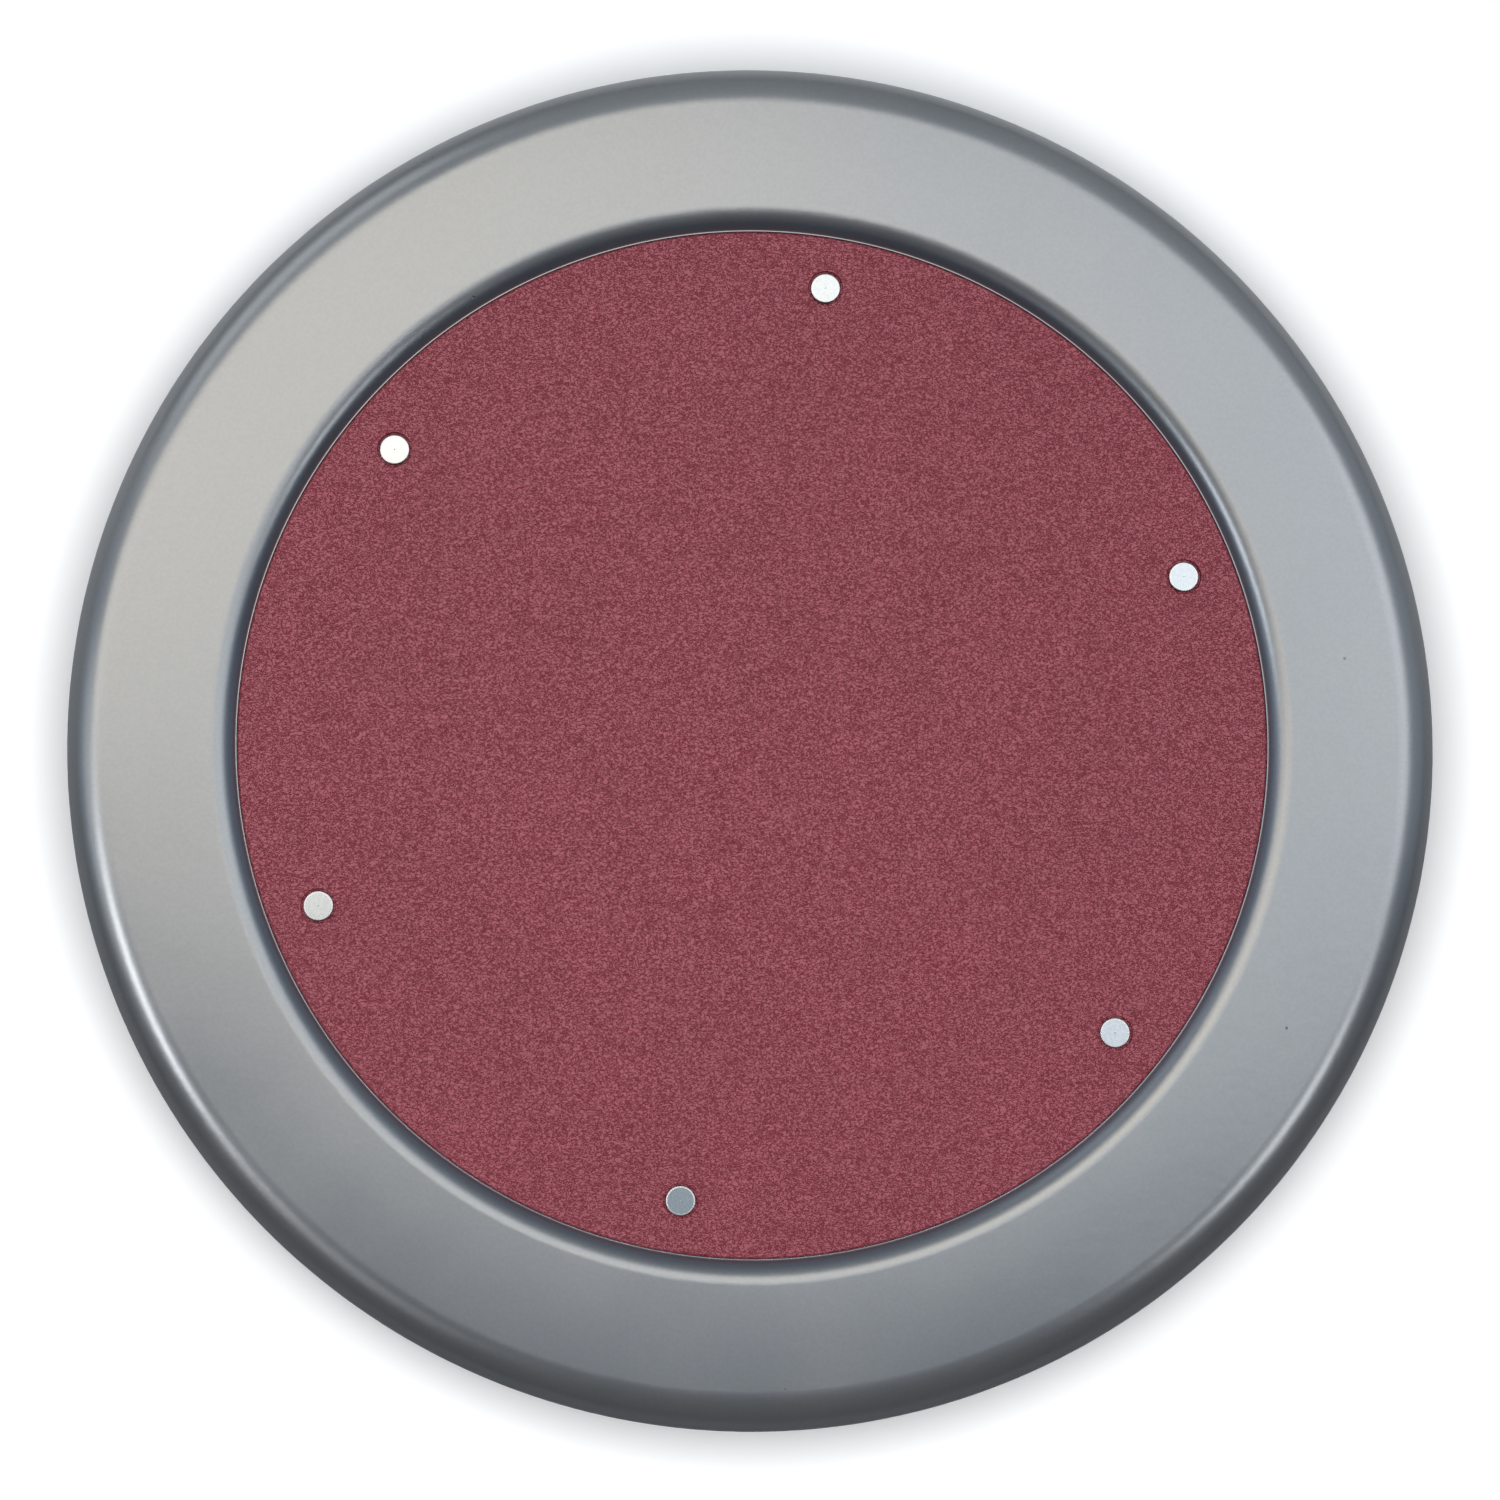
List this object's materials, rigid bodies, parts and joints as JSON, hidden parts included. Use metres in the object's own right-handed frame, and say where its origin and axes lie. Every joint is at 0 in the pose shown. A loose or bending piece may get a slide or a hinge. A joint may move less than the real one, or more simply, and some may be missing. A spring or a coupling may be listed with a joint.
{
  "type": "merry go round",
  "caption": "Low stand-on playground merry-go-round: round grey moulded rim, burgundy anti-slip deck plate held by flat round bolts, spinning on a bolt-down bearing pedestal.",
  "frame": {"origin": "centre of the base plate's underside, on the spin axis, where the base rests on the ground", "axes": "+Z up along the spin axis; +X to the right and +Y away from the viewer who looks down at the deck with +Y up"},
  "size_m": [0.8, 0.8, 0.17],
  "materials": {
    "galvanised_steel": "hot-dip galvanised, matt with a faint spangle",
    "turned_steel": "fine turned",
    "phosphated_steel": "dark phosphated and oiled",
    "bearing_steel": "ground and polished",
    "cage_polyamide": "moulded, natural amber",
    "black_rubber": "matt black",
    "black_plastic": "moulded black",
    "zinc_fasteners": "bright zinc plated",
    "bright_bolt_heads": "bright, fine turned and polished",
    "grey_rim": "semi-gloss moulded grey with a metallic pigment",
    "burgundy_tread": "fine embossed anti-slip, semi-matt burgundy",
    "aluminium_sheet": "mill-finish sheet",
    "brass_inserts": "knurled, as machined"
  },
  "bodies": {
    "base": {"base_plate": "galvanised_steel", "bearing_housing": "galvanised_steel", "housing_ribs": "galvanised_steel", "housing_end_cover": "phosphated_steel", "upper_outer_race": "bearing_steel", "lower_outer_race": "bearing_steel", "upper_bearing_seals": "black_rubber", "lower_bearing_seals": "black_rubber", "upper_retaining_ring": "phosphated_steel", "lower_retaining_ring": "phosphated_steel", "shaft_seal": "black_rubber", "shaft_seal_spring": "bearing_steel"},
    "upper_ball_set": {"upper_balls": "bearing_steel", "upper_cage": "cage_polyamide"},
    "lower_ball_set": {"lower_balls": "bearing_steel", "lower_cage": "cage_polyamide"},
    "deck": {"upper_inner_race": "bearing_steel", "lower_inner_race": "bearing_steel", "spindle": "turned_steel", "bearing_spacer": "turned_steel", "lock_tab_washer": "phosphated_steel", "spindle_lock_nut": "phosphated_steel", "hub_plate": "galvanised_steel", "hub_bolts": "zinc_fasteners", "hub_washers": "zinc_fasteners", "carrier_arms": "galvanised_steel", "carrier_ring": "galvanised_steel", "centre_pad": "black_rubber", "rim_ring": "grey_rim", "flange_sleeves": "zinc_fasteners", "vent_plugs": "black_plastic", "tread_plate": "burgundy_tread", "tread_bolts": "bright_bolt_heads", "tread_washers": "zinc_fasteners", "tread_lock_nuts": "zinc_fasteners", "under_cover": "aluminium_sheet", "cover_inserts": "brass_inserts", "cover_screws": "zinc_fasteners"}
  },
  "joints": [
    {"name": "deck_spin", "type": "hinge", "parent": "base", "child": "deck", "pos_m": [0, 0, 0.1], "axis": [0, 0, 1], "continuous": true},
    {"name": "upper_ball_orbit", "type": "hinge", "parent": "base", "child": "upper_ball_set", "pos_m": [0, 0, 0.088], "axis": [0, 0, 1], "continuous": true},
    {"name": "lower_ball_orbit", "type": "hinge", "parent": "base", "child": "lower_ball_set", "pos_m": [0, 0, 0.039], "axis": [0, 0, 1], "continuous": true}
  ],
  "couplings": [
    {"joint": "upper_ball_orbit", "follows": "deck_spin", "ratio": 0.4093},
    {"joint": "lower_ball_orbit", "follows": "deck_spin", "ratio": 0.4008}
  ]
}
